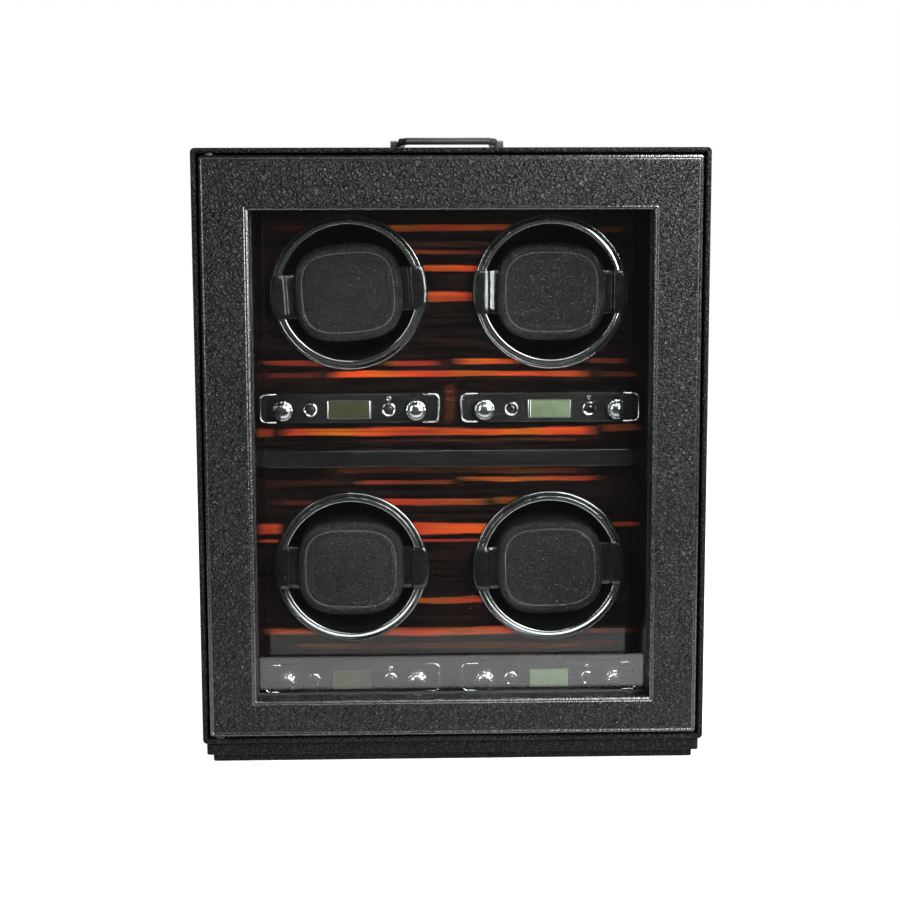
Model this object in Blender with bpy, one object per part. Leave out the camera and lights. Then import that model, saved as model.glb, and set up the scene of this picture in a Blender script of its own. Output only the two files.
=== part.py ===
"""A cabinet that winds four watches, built as the separate pieces it would come apart into.

Sizes below are in millimetres and become metres when a piece is made. +Z is up, the door
faces -Y, and the origin is on the ground under the middle of the case.
"""
import math

import bmesh
import bpy
from mathutils import Matrix, Vector

MM = 0.001
FIT = 0.3            # air between two pieces that touch
PAST = 1.0           # how far a cutter runs past the face it opens

# Case and plinth
CASE_W, CASE_D = 305.0, 229.0
CASE_BOTTOM, CASE_TOP = 12.5, 370.0
CASE_WALL = 12.0
CASE_FLOOR = 7.5
LIP = 3.0            # thickness of the case edge that shows round the door
PLINTH_INSET, FOOT_INSET, FOOT_H = 2.0, 5.7, 5.0
BACK_RECESS, BACK_T = 3.5, 4.0
INLET_Z, INLET_HOLE_R = 48.0, 6.3
FRONT, BACK = -CASE_D / 2, CASE_D / 2

# Door
DOOR_GAP = 1.5       # between door and case edge
DOOR_T = 20.0
DOOR_FREE = 1.5      # air behind the closed door
DOOR_CHAMFER = 1.0
WINDOW_HALF, WINDOW_BOTTOM, WINDOW_TOP = 119.5, 39.0, 334.0
GLASS_SET_BACK, GLASS_T = 13.8, 3.0
GLASS_LAP = 6.5      # how far the glass rebate runs past the window
RETAINER_T = 2.5
HINGE_IN, HINGE_BEHIND = 6.0, 4.0   # hinge axis from the door's left edge and front face
PIN_R, PIN_COLLAR_R, PIN_IN_DOOR = 2.0, 3.4, 10.0
PIN_RUNNING = 0.15   # air round a pin in its bore
CATCH_X, CATCH_Z = 134.0, 191.0
CATCH_HALF_W, CATCH_HALF_H, CATCH_D = 4.0, 8.7, 12.7
STRIKE_HALF_W, STRIKE_HALF_H, STRIKE_T = 6.0, 10.0, 1.0

# Insert that carries the four winders
INSERT_HALF, INSERT_BOTTOM, INSERT_TOP = 124.0, 22.0, 344.0
BOARD_FACE, BOARD_T = -56.0, 6.0
RAIL_BOTTOM, RAIL_TOP, RAIL_T = 174.8, 185.0, 6.7

# One winder
WINDER_X = 63.0
WINDER_Z = {"upper": 283.8, "lower": 110.2}
SIDES = {"left": -1, "right": 1}
ROUND = 28           # facets round a drum or its housing
FLANGE_R, FLANGE_INNER_R, FLANGE_T = 48.0, 45.6, 3.0
HOUSING_R, HOUSING_INNER_R = 46.3, 44.6
HOUSING_BACK, HOUSING_WALL = 27.0, 2.5
LIP_R, LIP_T, DRUM_R, DRUM_INNER_R = 45.0, 2.6, 43.8, 41.8
LIP_PROUD = 0.7      # the drum's rim stands this much in front of the housing's flange
DRUM_FLOOR, DRUM_FLOOR_T = 11.5, 2.5
HUB_R, SHAFT_R = 8.0, 4.0
STEP_Y = -57.0       # where the housing's mouth narrows behind the drum's rim
CUFF_TILT = {"upper_left": 4.0, "upper_right": 0.0, "lower_left": 0.0, "lower_right": 2.0}

# Gear train
GEAR_TEETH, PINION_TEETH, MODULE = 36, 12, 1.25
CENTRES = MODULE * (GEAR_TEETH + PINION_TEETH) / 2 + 0.1
GEAR_FRONT, GEAR_BACK = 16.5, 20.5
TOOTH_ROOT, TOOTH_TIP = 0.3, 0.14   # half widths of a tooth, as shares of the pitch
MOTOR_R, MOTOR_BACK, PINION_SHAFT_R = 12.0, 50.0, 1.2

# Cuff that carries the watch
PAD_W, PAD_H, PAD_CUT = 67.0, 60.0, 13.0
PAD_FRONT, PAD_BACK = -65.0, -22.0
WING_R, WING_H, WING_T = 49.3, 27.0, 2.2
WING_FRONT = -62.7

# Control strip of one winder
STRIP_BELOW = 72.2   # from winder centre down to the middle of its strip
STRIP_W, STRIP_H, STRIP_T = 112.8, 18.6, 2.3
CONTROLS_BELOW = 0.9  # controls sit this much under the strip's middle
LCD_W, LCD_H = 24.6, 10.5
KNOB_X, KNOB_R, KNOB_T, KNOB_SHAFT_R = 41.5, 6.2, 8.0, 2.2
BUTTON_X, BUTTON_R, BUTTON_PROUD = 24.5, 2.9, 2.0
CONTROL_BACK = -47.7
CUTOUT_HALF_W, CUTOUT_HALF_H = 51.0, 7.4

# Handle
HANDLE_HALF, LUG_W = 36.6, 4.4
HANDLE_PIVOT_Z, GRIP_Z, GRIP_REACH, GRIP_R = 376.6, 378.1, 24.0, 2.3


def clear_scene():
    for obj in list(bpy.data.objects):
        bpy.data.objects.remove(obj, do_unlink=True)


def make_material(name, colour, roughness, metallic=0.0):
    mat = bpy.data.materials.new(name)
    mat.use_nodes = True
    shader = mat.node_tree.nodes["Principled BSDF"]
    shader.inputs["Base Color"].default_value = (*colour, 1.0)
    shader.inputs["Roughness"].default_value = roughness
    shader.inputs["Metallic"].default_value = metallic
    return mat


def new_object(name, mesh):
    obj = bpy.data.objects.new(name, mesh)
    bpy.context.scene.collection.objects.link(obj)
    return obj


def make_piece(name, bm, material=None, at=(0, 0, 0)):
    """An object from a bmesh in millimetres, drawn about the point `at` in millimetres."""
    bmesh.ops.recalc_face_normals(bm, faces=bm.faces)
    bmesh.ops.scale(bm, vec=(MM, MM, MM), verts=bm.verts)
    mesh = bpy.data.meshes.new(name)
    bm.to_mesh(mesh)
    bm.free()
    if material:
        mesh.materials.append(material)
    mesh.set_sharp_from_angle(angle=math.radians(35))
    obj = new_object(name, mesh)
    obj.location = Vector(at) * MM
    return obj


def loft(loops):
    """A closed solid through loops of the same number of points, with flat ends."""
    bm = bmesh.new()
    rows = [[bm.verts.new(point) for point in loop] for loop in loops]
    count = len(loops[0])
    for row, after in zip(rows, rows[1:]):
        for i in range(count):
            j = (i + 1) % count
            bm.faces.new((row[i], row[j], after[j], after[i]))
    bm.faces.new(rows[0])
    bm.faces.new(rows[-1][::-1])
    return bm


def rectangle(y, x0, x1, z0, z1):
    """Corners of an upright rectangle at depth y."""
    return [(x0, y, z0), (x1, y, z0), (x1, y, z1), (x0, y, z1)]


def block(x0, x1, y0, y1, z0, z1):
    return loft([rectangle(y0, x0, x1, z0, z1), rectangle(y1, x0, x1, z0, z1)])


def prism(outline, y0, y1):
    """An (x, z) outline pushed from y0 to y1."""
    return loft([[(x, y, z) for x, z in outline] for y in (y0, y1)])


def rounded_rectangle(width, height, radius, steps=4):
    points = []
    for turn, (sx, sz) in enumerate(((1, 1), (-1, 1), (-1, -1), (1, -1))):
        for step in range(steps + 1):
            a = math.radians(90 * (turn + step / steps))
            points.append((sx * (width / 2 - radius) + radius * math.cos(a),
                           sz * (height / 2 - radius) + radius * math.sin(a)))
    return points


def turned(profile, segments=ROUND):
    """A closed (radius, y) profile turned about the Y axis. Radius 0 is a point on the axis."""
    bm = bmesh.new()
    rings = []
    for radius, y in profile:
        if radius == 0:
            rings.append([bm.verts.new((0, y, 0))] * segments)
            continue
        angles = [2 * math.pi * i / segments for i in range(segments)]
        rings.append([bm.verts.new((radius * math.cos(a), y, radius * math.sin(a)))
                      for a in angles])
    for ring, after in zip(rings, rings[1:] + rings[:1]):
        for i in range(segments):
            j = (i + 1) % segments
            corners = list(dict.fromkeys((ring[i], ring[j], after[j], after[i])))
            if len(corners) > 2:
                bm.faces.new(corners)
    return bm


def combine(obj, operation, *others):
    """Cuts the others from obj, or joins them to it, and removes them."""
    for other in others:
        modifier = obj.modifiers.new(operation, "BOOLEAN")
        modifier.operation = operation
        modifier.object = other
    graph = bpy.context.evaluated_depsgraph_get()
    mesh = bpy.data.meshes.new_from_object(obj.evaluated_get(graph))
    obj.modifiers.clear()
    obj.data = mesh
    mesh.set_sharp_from_angle(angle=math.radians(35))
    for other in others:
        bpy.data.objects.remove(other, do_unlink=True)
    return obj


def cutter(bm, at=(0, 0, 0)):
    return make_piece("cutter", bm, at=at)


def hole(radius, y0, y1, at, segments=16):
    """A round cutter along Y, from y0 to y1."""
    return cutter(turned([(0, y0), (radius, y0), (radius, y1), (0, y1)], segments), at)


def gear_outline(teeth, first_tooth):
    """Points of a spur gear with straight-sided teeth, one tooth centred on first_tooth radians."""
    pitch_r = MODULE * teeth / 2
    root_r, tip_r = pitch_r - 1.25 * MODULE, pitch_r + MODULE
    step = 2 * math.pi / teeth
    points = []
    for tooth in range(teeth):
        middle = first_tooth + tooth * step
        for share, radius in ((-TOOTH_ROOT, root_r), (-TOOTH_TIP, tip_r),
                              (TOOTH_TIP, tip_r), (TOOTH_ROOT, root_r)):
            a = middle + share * step
            points.append((radius * math.cos(a), radius * math.sin(a)))
    return points


def build_case(mats):
    half = CASE_W / 2
    shell = make_piece("case_shell",
                       block(-half, half, FRONT, BACK, CASE_BOTTOM, CASE_TOP), mats["leather"])
    inner = half - CASE_WALL
    floor, ceiling = CASE_BOTTOM + CASE_FLOOR, CASE_TOP - CASE_WALL
    shoulder = FRONT + DOOR_T + DOOR_FREE
    door_pocket = cutter(block(-half + LIP, half - LIP, FRONT - PAST, shoulder,
                               CASE_BOTTOM + LIP, CASE_TOP - LIP))
    through = cutter(block(-inner, inner, shoulder - PAST, BACK + PAST, floor, ceiling))
    combine(shell, "DIFFERENCE", door_pocket, through)
    skin = 1.0
    pins = [cutter(upright_cylinder(PIN_R + FIT, z0, z1), hinge_point(0))
            for z0, z1 in ((CASE_BOTTOM + skin, CASE_BOTTOM + LIP + PAST),
                           (CASE_TOP - LIP - PAST, CASE_TOP - skin))]
    combine(shell, "DIFFERENCE", *pins)

    outer = BACK - BACK_RECESS
    back = make_piece("back_panel",
                      block(-inner + FIT, inner - FIT, outer - BACK_T, outer,
                            floor + FIT, ceiling - FIT), mats["lining"])
    combine(back, "DIFFERENCE", hole(INLET_HOLE_R, outer - BACK_T - PAST, outer + PAST,
                                     (0, 0, INLET_Z)))

    levels = ((0, FOOT_INSET), (FOOT_H, FOOT_INSET), (FOOT_H, PLINTH_INSET),
              (CASE_BOTTOM - FIT, PLINTH_INSET))
    loops = []
    for z, inset in levels:
        x, y = half - inset, BACK - inset
        loops.append([(-x, -y, z), (x, -y, z), (x, y, z), (-x, y, z)])
    make_piece("base_plinth", loft(loops), mats["leather"])


def build_inlet(mats):
    """Power socket in the back panel, with its open hole facing back."""
    seat = BACK - BACK_RECESS + FIT
    barrel_r, flange_r, socket_r = INLET_HOLE_R - 0.6, 8.5, 3.2
    face, barrel_end, socket_end = seat + 2, seat - 15, seat - 11
    profile = [(0, barrel_end), (barrel_r, barrel_end), (barrel_r, seat), (flange_r, seat),
               (flange_r, face), (socket_r, face), (socket_r, socket_end), (0, socket_end)]
    make_piece("dc_inlet", turned(profile, 16), mats["black_plastic"], (0, 0, INLET_Z))


def upright_cylinder(radius, z0, z1, segments=16):
    angles = [2 * math.pi * i / segments for i in range(segments)]
    return loft([[(radius * math.cos(a), radius * math.sin(a), z) for a in angles]
                 for z in (z0, z1)])


def hinge_point(z):
    return (-CASE_W / 2 + LIP + DOOR_GAP + HINGE_IN, FRONT + HINGE_BEHIND, z)


def build_door(mats):
    half = CASE_W / 2 - LIP - DOOR_GAP
    bottom, top = CASE_BOTTOM + LIP + DOOR_GAP, CASE_TOP - LIP - DOOR_GAP
    back = FRONT + DOOR_T
    glass_front = FRONT + GLASS_SET_BACK
    c = DOOR_CHAMFER
    slab = loft([rectangle(FRONT, -half + c, half - c, bottom + c, top - c),
                 rectangle(FRONT + c, -half, half, bottom, top),
                 rectangle(back, -half, half, bottom, top)])
    axis = hinge_point(0)
    frame = make_piece("door_frame", slab, mats["leather"])
    window = block(-WINDOW_HALF, WINDOW_HALF, FRONT - PAST, back + PAST,
                   WINDOW_BOTTOM, WINDOW_TOP)
    rebate_half = WINDOW_HALF + GLASS_LAP
    rebate = block(-rebate_half, rebate_half, glass_front - FIT, back + PAST,
                   WINDOW_BOTTOM - GLASS_LAP, WINDOW_TOP + GLASS_LAP)
    w, h = STRIKE_HALF_W, STRIKE_HALF_H
    sunk = 0.1
    strike = block(CATCH_X - w - FIT, CATCH_X + w + FIT, back - sunk - STRIKE_T - FIT,
                   back + PAST, CATCH_Z - h - FIT, CATCH_Z + h + FIT)
    combine(frame, "DIFFERENCE", cutter(window), cutter(rebate), cutter(strike))
    bores = [cutter(upright_cylinder(PIN_R + PIN_RUNNING, z0, z1), axis)
             for z0, z1 in ((bottom - PAST, bottom + PIN_IN_DOOR + 1),
                            (top - PIN_IN_DOOR - 1, top + PAST))]
    combine(frame, "DIFFERENCE", *bores)

    x = rebate_half - FIT
    z0, z1 = WINDOW_BOTTOM - GLASS_LAP + FIT, WINDOW_TOP + GLASS_LAP - FIT
    make_piece("door_glass", block(-x, x, glass_front, glass_front + GLASS_T, z0, z1),
               mats["glass"])
    behind = glass_front + GLASS_T + FIT
    retainer = make_piece("glass_retainer", block(-x, x, behind, behind + RETAINER_T, z0, z1),
                          mats["black_plastic"])
    combine(retainer, "DIFFERENCE",
            cutter(block(-WINDOW_HALF, WINDOW_HALF, behind - PAST,
                         behind + RETAINER_T + PAST, WINDOW_BOTTOM, WINDOW_TOP)))
    make_piece("strike_plate",
               block(CATCH_X - w, CATCH_X + w, back - sunk - STRIKE_T, back - sunk,
                     CATCH_Z - h, CATCH_Z + h), mats["steel"])

    collar, past_collar, pin_end = 0.35, 1.15, 3.0
    for name, edge, way in (("hinge_pin_lower", bottom, -1), ("hinge_pin_upper", top, 1)):
        levels = [(edge - way * PIN_IN_DOOR, PIN_R), (edge + way * collar, PIN_R),
                  (edge + way * collar, PIN_COLLAR_R), (edge + way * past_collar, PIN_COLLAR_R),
                  (edge + way * past_collar, PIN_R), (edge + way * pin_end, PIN_R)]
        loops = [[(r * math.cos(a), r * math.sin(a), z)
                  for a in (2 * math.pi * i / 16 for i in range(16))] for z, r in levels]
        make_piece(name, loft(loops), mats["steel"], axis)


def build_insert(mats):
    """The tray behind the door: a striped board with side rails, holes for drums and controls."""
    inner = CASE_W / 2 - CASE_WALL - FIT
    floor, ceiling = CASE_BOTTOM + CASE_FLOOR + FIT, CASE_TOP - CASE_WALL - FIT
    front = FRONT + DOOR_T + DOOR_FREE + FIT
    tray = make_piece("front_board", block(-inner, inner, front, BOARD_FACE + BOARD_T,
                                           floor, ceiling), mats["striped_wood"])
    hollow = cutter(block(-INSERT_HALF, INSERT_HALF, front - PAST, BOARD_FACE,
                          INSERT_BOTTOM, INSERT_TOP))
    w, h = CATCH_HALF_W, CATCH_HALF_H
    catch = cutter(block(CATCH_X - w - FIT, CATCH_X + w + FIT, front - PAST, front + CATCH_D,
                         CATCH_Z - h - FIT, CATCH_Z + h + FIT))
    combine(tray, "DIFFERENCE", hollow, catch)
    y0, y1 = BOARD_FACE - PAST, BOARD_FACE + BOARD_T + PAST
    openings = []
    for _, _, x, z in winder_places():
        openings.append(hole(HOUSING_R + 4 * FIT, y0, y1, (x, 0, z)))
        strip_z = z - STRIP_BELOW - CONTROLS_BELOW
        openings.append(cutter(block(-CUTOUT_HALF_W, CUTOUT_HALF_W, y0, y1,
                                     -CUTOUT_HALF_H, CUTOUT_HALF_H), (x, 0, strip_z)))
    combine(tray, "DIFFERENCE", *openings)
    make_piece("magnet_catch", block(CATCH_X - w, CATCH_X + w, front - FIT,
                                     front + CATCH_D - FIT, CATCH_Z - h, CATCH_Z + h),
               mats["steel"])

    back = BOARD_FACE - FIT
    face, ease = back - RAIL_T, 2.0
    profile = [(back, RAIL_BOTTOM), (back, RAIL_TOP), (face + ease, RAIL_TOP),
               (face, RAIL_TOP - ease), (face, RAIL_BOTTOM + ease), (face + ease, RAIL_BOTTOM)]
    half = INSERT_HALF - FIT
    make_piece("divider_rail", loft([[(x, y, z) for y, z in profile] for x in (-half, half)]),
               mats["gloss_black"])


def winder_places():
    """Level, side and centre of each winder."""
    for level, z in WINDER_Z.items():
        for side, sign in SIDES.items():
            yield level, side, sign * WINDER_X, z


def build_winder(tag, x, z, mats):
    """Housing, drum with its ring gear, motor and pinion, all turning about Y through (x, z)."""
    at = (x, 0, z)
    seat = BOARD_FACE - FIT
    flange_front = seat - FLANGE_T
    rear = HOUSING_BACK - HOUSING_WALL
    housing = make_piece("winder_housing_" + tag, turned([
        (FLANGE_R, flange_front), (FLANGE_R, seat), (HOUSING_R, seat),
        (HOUSING_R, HOUSING_BACK), (SHAFT_R + FIT, HOUSING_BACK), (SHAFT_R + FIT, rear),
        (HOUSING_INNER_R, rear), (HOUSING_INNER_R, STEP_Y), (FLANGE_INNER_R, STEP_Y),
        (FLANGE_INNER_R, flange_front)]), mats["gloss_black"], at)
    below = (x, 0, z - CENTRES)
    combine(housing, "DIFFERENCE", hole(PINION_SHAFT_R + 0.8, rear - PAST,
                                        HOUSING_BACK + PAST, below, 12))

    lip_front = flange_front - LIP_PROUD
    shaft_end = HOUSING_BACK + 0.5
    drum = make_piece("drum_" + tag, turned([
        (0, DRUM_FLOOR), (DRUM_INNER_R, DRUM_FLOOR), (DRUM_INNER_R, lip_front),
        (LIP_R, lip_front), (LIP_R, lip_front + LIP_T), (DRUM_R, lip_front + LIP_T),
        (DRUM_R, DRUM_FLOOR + DRUM_FLOOR_T), (HUB_R, DRUM_FLOOR + DRUM_FLOOR_T),
        (HUB_R, GEAR_BACK + 1), (SHAFT_R, GEAR_BACK + 1), (SHAFT_R, shaft_end),
        (0, shaft_end)]), mats["drum_metal"], at)
    down = -math.pi / 2
    gear = cutter(prism(gear_outline(GEAR_TEETH, down), GEAR_FRONT, GEAR_BACK), at)
    combine(drum, "UNION", gear)

    tooth_gap = math.pi / 2 + math.pi / PINION_TEETH
    pinion = make_piece("pinion_" + tag,
                        prism(gear_outline(PINION_TEETH, tooth_gap), GEAR_FRONT, GEAR_BACK),
                        mats["steel"], below)
    shaft = turned([(0, GEAR_FRONT + 2), (PINION_SHAFT_R, GEAR_FRONT + 2),
                    (PINION_SHAFT_R, HOUSING_BACK + 6), (0, HOUSING_BACK + 6)], 12)
    combine(pinion, "UNION", cutter(shaft, below))

    face = HOUSING_BACK + FIT
    bore = PINION_SHAFT_R + 0.4
    make_piece("motor_" + tag, turned([
        (bore, face), (MOTOR_R, face), (MOTOR_R, MOTOR_BACK), (0, MOTOR_BACK),
        (0, face + 7), (bore, face + 7)], 16), mats["steel"], below)


def build_cuff(tag, x, z, mats):
    """A padded block with a bar across it whose two ends clip over the drum's rim."""
    w, h, cut = PAD_W / 2, PAD_H / 2, PAD_CUT
    corners = [(w - cut, h), (-w + cut, h), (-w, h - cut), (-w, -h + cut),
               (-w + cut, -h), (w - cut, -h), (w, -h + cut), (w, h - cut)]
    ease = 3.0 / PAD_H
    small = [(px * (1 - ease), pz * (1 - ease)) for px, pz in corners]
    pad = loft([[(px, PAD_FRONT, pz) for px, pz in small],
                [(px, PAD_FRONT + 3, pz) for px, pz in corners],
                [(px, PAD_BACK, pz) for px, pz in corners]])
    at = (x, 0, z)
    cuff = make_piece("cuff_" + tag, pad, mats["cuff_leather"], at)
    reach = math.asin(WING_H / 2 / WING_R)
    arc = [reach * (i / 2 - 1) for i in range(5)]
    outline = [(WING_R * math.cos(a), WING_R * math.sin(a)) for a in arc]
    outline += [(-WING_R * math.cos(a), -WING_R * math.sin(a)) for a in arc]
    combine(cuff, "UNION", cutter(prism(outline, WING_FRONT, WING_FRONT + WING_T), at))
    tilt = Matrix.Rotation(math.radians(-CUFF_TILT[tag]), 4, "Y")
    cuff.data.transform(tilt)


def build_controls(tag, x, z, mats):
    """The strip under a winder with its display, two knobs and two buttons."""
    back = BOARD_FACE - FIT
    front = back - STRIP_T
    row = z - STRIP_BELOW - CONTROLS_BELOW
    strip = make_piece("control_plate_" + tag,
                       prism(rounded_rectangle(STRIP_W, STRIP_H, 4), front, back),
                       mats["gloss_black"], (x, 0, z - STRIP_BELOW))
    w, h = LCD_W / 2, LCD_H / 2
    cuts = [cutter(block(-w - FIT, w + FIT, front - PAST, back + PAST, -h - FIT, h + FIT),
                   (x, 0, row))]
    for side in (-1, 1):
        cuts.append(hole(KNOB_SHAFT_R + 0.4, front - PAST, back + PAST,
                         (x + side * KNOB_X, 0, row), 12))
        cuts.append(hole(BUTTON_R + FIT, front - PAST, back + PAST,
                         (x + side * BUTTON_X, 0, row), 12))
    combine(strip, "DIFFERENCE", *cuts)
    make_piece("lcd_" + tag, block(-w, w, front + 0.2, back, -h, h), mats["lcd"], (x, 0, row))

    rear = front - 0.35
    knob = [(0, rear - KNOB_T), (KNOB_R - 0.8, rear - KNOB_T), (KNOB_R, rear - KNOB_T + 0.8),
            (KNOB_R, rear), (KNOB_SHAFT_R, rear), (KNOB_SHAFT_R, CONTROL_BACK),
            (0, CONTROL_BACK)]
    face = front - BUTTON_PROUD
    stop = back + FIT
    button = [(0, face), (BUTTON_R - 0.4, face), (BUTTON_R, face + 0.4), (BUTTON_R, stop),
              (BUTTON_R + 1, stop), (BUTTON_R + 1, stop + 1.2), (1.6, stop + 1.2),
              (1.6, CONTROL_BACK - 0.8), (0, CONTROL_BACK - 0.8)]
    for kind, side in (("turns", -1), ("direction", 1)):
        make_piece(f"{kind}_knob_{tag}", turned(knob, 16), mats["chrome"],
                   (x + side * KNOB_X, 0, row))
    for kind, side in (("power", -1), ("mode", 1)):
        make_piece(f"{kind}_button_{tag}", turned(button, 12), mats["gloss_black"],
                   (x + side * BUTTON_X, 0, row))


def build_circuit_board(mats):
    """One I-shaped circuit board that serves both rows of controls."""
    half_w, web, half_h = 118.0, 10.0, 9.0
    front, back = CONTROL_BACK + 1.0, CONTROL_BACK + 2.6
    rows = [z - STRIP_BELOW for z in sorted(WINDER_Z.values())]
    low, high = rows
    outline = [(-half_w, low - half_h), (half_w, low - half_h), (half_w, low + half_h),
               (web, low + half_h), (web, high - half_h), (half_w, high - half_h),
               (half_w, high + half_h), (-half_w, high + half_h), (-half_w, high - half_h),
               (-web, high - half_h), (-web, low + half_h), (-half_w, low + half_h)]
    make_piece("control_board", prism(outline, front, back), mats["circuit"])


def build_handle(mats):
    """A plate with two lugs on the lid, and a bail that folds down in front of it."""
    base, top = CASE_TOP + FIT, CASE_TOP + 2.0
    plate = make_piece("handle_plate", block(-HANDLE_HALF, HANDLE_HALF, -7, 7, base, top),
                       mats["gunmetal"])
    lug_r = 3.2
    for side in (-1, 1):
        arch = [(-lug_r, top - 1), (lug_r, top - 1)]
        arch += [(lug_r * math.cos(a), HANDLE_PIVOT_Z + lug_r * math.sin(a))
                 for a in (math.pi * i / 8 for i in range(9))]
        outer, inner = side * HANDLE_HALF, side * (HANDLE_HALF - LUG_W)
        combine(plate, "UNION",
                cutter(loft([[(x, y, z) for y, z in arch] for x in (outer, inner)])))
        ring = [(GRIP_R + 0.35) * Vector((math.cos(a), math.sin(a)))
                for a in (2 * math.pi * i / 16 for i in range(16))]
        bore = loft([[(x, p.x, HANDLE_PIVOT_Z + p.y) for p in ring]
                     for x in (outer + side, inner - side)])
        combine(plate, "DIFFERENCE", cutter(bore))

    arm_x = HANDLE_HALF - LUG_W - GRIP_R - 0.55
    stub_end = HANDLE_HALF - 1.2
    turn_r = 3.0
    rise = (GRIP_Z - HANDLE_PIVOT_Z) / GRIP_REACH
    bends = []
    for step in range(5):
        a = math.radians(90 * step / 4)
        bends.append((arm_x + turn_r * (1 - math.sin(a)), turn_r * (1 - math.cos(a))))
    half_path = [(stub_end, 0)] + bends
    for step in range(5):
        a = math.radians(90 * step / 4)
        half_path.append((arm_x - turn_r * (1 - math.cos(a)),
                          GRIP_REACH - turn_r * (1 - math.sin(a))))
    path = half_path + [(-px, py) for px, py in reversed(half_path)]
    curve = bpy.data.curves.new("handle_bail", "CURVE")
    curve.dimensions = "3D"
    curve.bevel_depth = GRIP_R * MM
    curve.bevel_resolution = 2
    curve.use_fill_caps = True
    spline = curve.splines.new("POLY")
    spline.points.add(len(path) - 1)
    for point, (px, py) in zip(spline.points, path):
        point.co = (px * MM, -py * MM, py * rise * MM, 1)
    curve.materials.append(mats["gunmetal"])
    bail = new_object("handle_bail", curve)
    bail.location = (0, 0, HANDLE_PIVOT_Z * MM)


def make_materials():
    return {
        "leather": make_material("black_leather", (0.012, 0.012, 0.013), 0.5),
        "lining": make_material("black_lining", (0.02, 0.02, 0.02), 0.9),
        "glass": make_material("door_glass", (0.9, 0.95, 0.93), 0.02),
        "gloss_black": make_material("gloss_black_plastic", (0.01, 0.01, 0.01), 0.15),
        "black_plastic": make_material("matt_black_plastic", (0.02, 0.02, 0.02), 0.5),
        "striped_wood": make_material("striped_wood", (0.2, 0.05, 0.02), 0.12),
        "drum_metal": make_material("drum_metal", (0.5, 0.5, 0.5), 0.2, 1.0),
        "cuff_leather": make_material("cuff_leather", (0.02, 0.02, 0.02), 0.6),
        "chrome": make_material("chrome", (0.6, 0.6, 0.62), 0.1, 1.0),
        "gunmetal": make_material("gunmetal", (0.1, 0.1, 0.1), 0.25, 1.0),
        "steel": make_material("steel", (0.45, 0.45, 0.46), 0.3, 1.0),
        "lcd": make_material("display", (0.25, 0.3, 0.18), 0.2),
        "circuit": make_material("circuit_board", (0.02, 0.12, 0.05), 0.5),
    }


def main():
    clear_scene()
    mats = make_materials()
    build_case(mats)
    build_inlet(mats)
    build_door(mats)
    build_insert(mats)
    build_circuit_board(mats)
    build_handle(mats)
    for level, side, x, z in winder_places():
        tag = f"{level}_{side}"
        build_winder(tag, x, z, mats)
        build_cuff(tag, x, z, mats)
        build_controls(tag, x, z, mats)


main()
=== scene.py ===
"""Looks of a cabinet that winds four watches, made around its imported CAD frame.

Sizes are in millimetres and become metres when a piece is made. +Z is up, the door faces -Y,
and every piece is drawn where it stands at rest.
"""
import math

import bmesh
import bpy
from mathutils import Matrix, Vector, noise


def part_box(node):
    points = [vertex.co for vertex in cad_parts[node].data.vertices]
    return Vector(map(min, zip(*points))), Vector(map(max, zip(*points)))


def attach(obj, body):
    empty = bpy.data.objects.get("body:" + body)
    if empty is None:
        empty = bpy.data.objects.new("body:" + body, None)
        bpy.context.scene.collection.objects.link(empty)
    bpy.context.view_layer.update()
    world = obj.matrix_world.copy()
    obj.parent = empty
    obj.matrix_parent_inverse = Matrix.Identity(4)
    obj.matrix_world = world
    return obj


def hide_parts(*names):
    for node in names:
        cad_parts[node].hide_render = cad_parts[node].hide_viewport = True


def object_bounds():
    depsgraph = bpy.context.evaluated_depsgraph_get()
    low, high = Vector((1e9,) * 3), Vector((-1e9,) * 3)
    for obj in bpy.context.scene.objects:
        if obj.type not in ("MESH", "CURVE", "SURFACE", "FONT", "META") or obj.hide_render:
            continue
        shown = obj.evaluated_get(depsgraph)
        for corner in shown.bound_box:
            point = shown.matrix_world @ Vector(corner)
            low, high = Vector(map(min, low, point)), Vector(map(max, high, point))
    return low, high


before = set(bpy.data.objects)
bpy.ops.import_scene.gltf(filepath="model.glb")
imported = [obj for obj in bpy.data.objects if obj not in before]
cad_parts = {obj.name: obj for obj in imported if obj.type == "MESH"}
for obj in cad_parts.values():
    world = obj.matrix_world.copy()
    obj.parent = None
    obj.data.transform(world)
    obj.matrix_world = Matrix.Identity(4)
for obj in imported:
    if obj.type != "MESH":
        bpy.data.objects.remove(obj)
CAD_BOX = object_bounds()

MM = 0.001
LEVELS, SIDES = ("upper", "lower"), ("left", "right")
TAGS = [f"{level}_{side}" for level in LEVELS for side in SIDES]

# Camera
CAMERA_AT = Vector((-29.7, -1114.5, 322.8))
CAMERA_YAW, CAMERA_PITCH, CAMERA_ROLL = 0.028, 0.130, 0.003    # radians
CAMERA_LENS = 67.64

# Leather work
GAP = 0.3            # between the leather and the part that it holds
CORNER_R = 2.6       # upright corners of the case
EDGE_R = 0.9         # rolled edges of the case
DOOR_CORNER_R = 1.8
BEVEL_W, BEVEL_D = 1.1, 0.6   # burnished slope round the door and round its window
CREASE_D = 0.35      # depth of the line pressed into the leather along an edge

# Cuff
PAD_A, PAD_B, PAD_N = 33.5, 30.0, 3.0
STITCH_A, STITCH_B, STITCH_N = 28.4, 24.4, 3.3
PAD_FRONT, PAD_BACK = -64.6, -22.0
PAD_SWELL = 1.6      # most that the stuffing may push out the leather
BAND_W = 4.6         # between the stitches and the line pressed inside them
STITCH_PITCH, STITCH_LENGTH, THREAD_R = 2.5, 1.8, 0.24
PAD_POINTS = 120
WING_R, WING_HALF = 49.3, 13.5

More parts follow.
